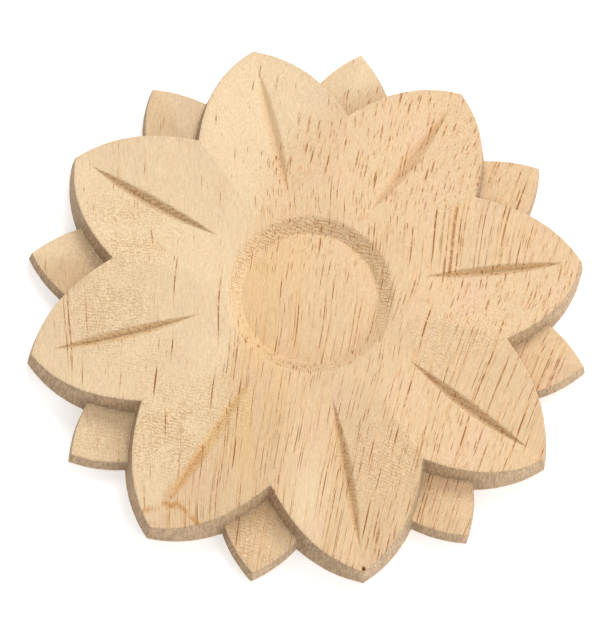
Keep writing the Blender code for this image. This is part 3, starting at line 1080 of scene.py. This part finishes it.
class ROSETTE_OT_stage(Operator):
    """Sets the floor, the light and the camera"""

    bl_idname = "rosette.stage"
    bl_label = "Set Stage"

    FLOOR_REACH = 1.5     # metres
    FLOOR_DROP = -0.1 * MM
    LAMP_WIDTH = math.radians(25)
    CLIP = (0.05, 10)     # nearest and farthest things that the camera sees, in metres

    def execute(self, context):
        studio = context.scene.rosette_studio
        self.floor(context, studio)
        self.light(context, studio)
        self.camera(context, studio)
        return {"FINISHED"}

    def floor(self, context, studio):
        mesh = bpy.data.meshes.new("studio_floor")
        corners = [(-1, -1), (1, -1), (1, 1), (-1, 1)]
        places = [(x * self.FLOOR_REACH, y * self.FLOOR_REACH, self.FLOOR_DROP) for x, y in corners]
        mesh.from_pydata(places, [], [(0, 1, 2, 3)])
        material = bpy.data.materials.new("studio_floor")
        material.use_nodes = True
        shader = material.node_tree.nodes["Principled BSDF"]
        shader.inputs["Base Color"].default_value = solid(studio.floor_colour)
        shader.inputs["Roughness"].default_value = 0.9
        shader.inputs["Emission Color"].default_value = (1, 1, 1, 1)
        shader.inputs["Emission Strength"].default_value = studio.floor_glow
        mesh.materials.append(material)
        floor = bpy.data.objects.new("studio_floor", mesh)
        context.scene.collection.objects.link(floor)

    def light(self, context, studio):
        world = bpy.data.worlds.new("even_light")
        world.use_nodes = True
        back = world.node_tree.nodes["Background"]
        back.inputs["Color"].default_value = (1, 1, 1, 1)
        back.inputs["Strength"].default_value = studio.fill_strength
        context.scene.world = world
        self.lamp(context, "key_light", studio.key_strength, studio.key_turn, studio.key_height)
        self.lamp(context, "front_light", studio.front_strength, studio.front_turn, studio.front_height)

    def lamp(self, context, name, strength, turn, height):
        """A wide, far light from a direction, given by its turn round the rosette and its height."""
        lamp = bpy.data.lights.new(name, "SUN")
        lamp.energy = strength
        lamp.angle = self.LAMP_WIDTH
        level = math.cos(height)
        towards = Vector((level * math.cos(turn), level * math.sin(turn), math.sin(height)))
        light = bpy.data.objects.new(name, lamp)
        light.rotation_euler = towards.to_track_quat("Z", "Y").to_euler()
        context.scene.collection.objects.link(light)

    def camera(self, context, studio):
        lens = bpy.data.cameras.new("studio_camera")
        lens.sensor_width = SENSOR
        lens.lens = PICTURE_FOCAL * SENSOR / max(PICTURE_SIZE)
        lens.clip_start, lens.clip_end = self.CLIP
        level = math.sin(studio.tilt)
        sight = Vector((
            level * math.cos(studio.turn), level * math.sin(studio.turn), math.cos(studio.tilt)))
        upright = Vector((math.cos(studio.upright), math.sin(studio.upright), 0))
        right = upright.cross(sight).normalized()
        up = sight.cross(right)
        pixel = studio.distance / PICTURE_FOCAL
        aside = (PICTURE_CENTRE[0] - PICTURE_SIZE[0] / 2) * pixel
        below = (PICTURE_CENTRE[1] - PICTURE_SIZE[1] / 2) * pixel
        place = sight * studio.distance - right * aside + up * below
        camera = bpy.data.objects.new("studio_camera", lens)
        camera.matrix_world = Matrix.Translation(place) @ Matrix((right, up, sight)).transposed().to_4x4()
        context.scene.collection.objects.link(camera)
        context.scene.camera = camera
        context.scene.view_settings.view_transform = "Standard"


class ROSETTE_PT_panel(Panel):
    """Lists the steps that make the rosette"""

    bl_label = "Carved Rosette"
    bl_idname = "ROSETTE_PT_panel"
    bl_space_type = "VIEW_3D"
    bl_region_type = "UI"
    bl_category = "Rosette"

    def draw(self, context):
        for step in OPERATORS:
            self.layout.operator(step.bl_idname)
        for name in GROUPS:
            group = getattr(context.scene, name)
            box = self.layout.box()
            for field in group.bl_rna.properties.keys():
                if field not in ("rna_type", "name"):
                    box.prop(group, field)


GROUPS = {"rosette_carving": RosetteCarving, "rosette_wood": RosetteWood, "rosette_studio": RosetteStudio}
OPERATORS = (ROSETTE_OT_carve, ROSETTE_OT_stage)


def register():
    for group in GROUPS.values():
        bpy.utils.register_class(group)
    for name, group in GROUPS.items():
        setattr(bpy.types.Scene, name, PointerProperty(type=group))
    for step in (*OPERATORS, ROSETTE_PT_panel):
        bpy.utils.register_class(step)


def unregister():
    for step in (*OPERATORS, ROSETTE_PT_panel):
        bpy.utils.unregister_class(step)
    for name in GROUPS:
        delattr(bpy.types.Scene, name)
    for group in GROUPS.values():
        bpy.utils.unregister_class(group)


def main():
    register()
    bpy.ops.rosette.carve()
    bpy.ops.rosette.stage()


if __name__ == "__main__":
    main()
